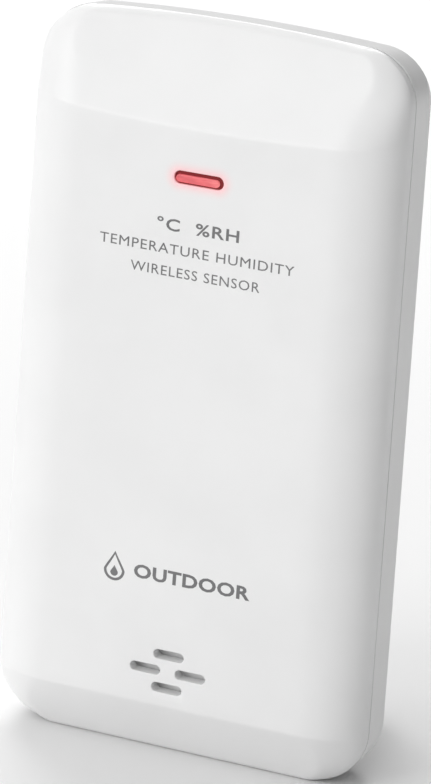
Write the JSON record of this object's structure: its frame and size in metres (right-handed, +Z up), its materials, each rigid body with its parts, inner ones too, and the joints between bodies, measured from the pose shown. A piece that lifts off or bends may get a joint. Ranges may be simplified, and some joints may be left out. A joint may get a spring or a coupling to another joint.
{
  "type": "wireless thermo-hygro sensor",
  "caption": "White battery-powered outdoor temperature and humidity sensor: bevelled two-shell case with a red status window, front vents, rear battery housing and sliding door.",
  "frame": {"origin": "middle of the case's footprint, on the surface it stands on", "axes": "+Z up along the case's height, -Y out of the front face with the status window, +X to the right when looking at the front"},
  "size_m": [0.0598, 0.0396, 0.1138],
  "materials": {
    "case_white": "moulded white ABS, satin gloss, fine moulding texture",
    "baffle_grey": "moulded light grey ABS",
    "guide_red": "clear red polycarbonate light guide, lit from behind",
    "silicone_grey": "moulded silicone rubber",
    "board_green": "glass-epoxy board under green solder mask",
    "chip_black": "moulded epoxy chip housing",
    "chip_ceramic": "fired ceramic chip parts with tinned ends",
    "led_white": "white LED housing under clear epoxy",
    "can_tin": "tin-plated pressed steel",
    "can_aluminium": "drawn aluminium can",
    "wire_copper": "bare copper wire",
    "ribbon_grey": "PVC ribbon cable",
    "knob_black": "moulded black nylon",
    "cell_sleeve": "pale grey printed sleeve over a steel cell can",
    "contact_nickel": "nickel-plated spring steel sheet",
    "lead_red": "PVC insulated lead, red",
    "lead_black": "PVC insulated lead, black",
    "screw_steel": "zinc-plated steel screws"
  },
  "bodies": {
    "case": {"front_shell": "case_white", "back_shell": "case_white", "door_gasket": "silicone_grey", "light_guide": "guide_red", "status_led": "led_white", "circuit_board": "board_green", "microcontroller": "chip_black", "radio_board": "board_green", "radio_shield": "can_tin", "radio_crystal": "can_tin", "storage_capacitor": "can_aluminium", "chip_parts": "chip_ceramic", "aerial": "wire_copper", "sensor_board": "board_green", "humidity_sensor": "chip_black", "sensor_ribbon": "ribbon_grey", "vent_baffle": "baffle_grey", "channel_switch": "can_tin", "reset_switch": "can_tin", "left_cell": "cell_sleeve", "right_cell": "cell_sleeve", "bridge_contact": "contact_nickel", "positive_contact": "contact_nickel", "negative_contact": "contact_nickel", "positive_lead": "lead_red", "negative_lead": "lead_black", "case_screws": "screw_steel", "board_screws": "screw_steel", "sensor_screws": "screw_steel"},
    "battery_door": {"battery_door": "case_white"},
    "channel_knob": {"channel_knob": "knob_black"},
    "reset_button": {"reset_button": "knob_black"}
  },
  "joints": [
    {"name": "door_slide", "type": "slide", "parent": "case", "child": "battery_door", "axis": [0, 0, -1], "range_m": [0, 0.008]},
    {"name": "channel_select", "type": "slide", "parent": "case", "child": "channel_knob", "axis": [1, 0, 0], "range_m": [-0.002, 0.002]},
    {"name": "reset_press", "type": "slide", "parent": "case", "child": "reset_button", "axis": [0, -1, 0], "range_m": [0, 0.0004], "stiffness_N_per_m": 800}
  ]
}
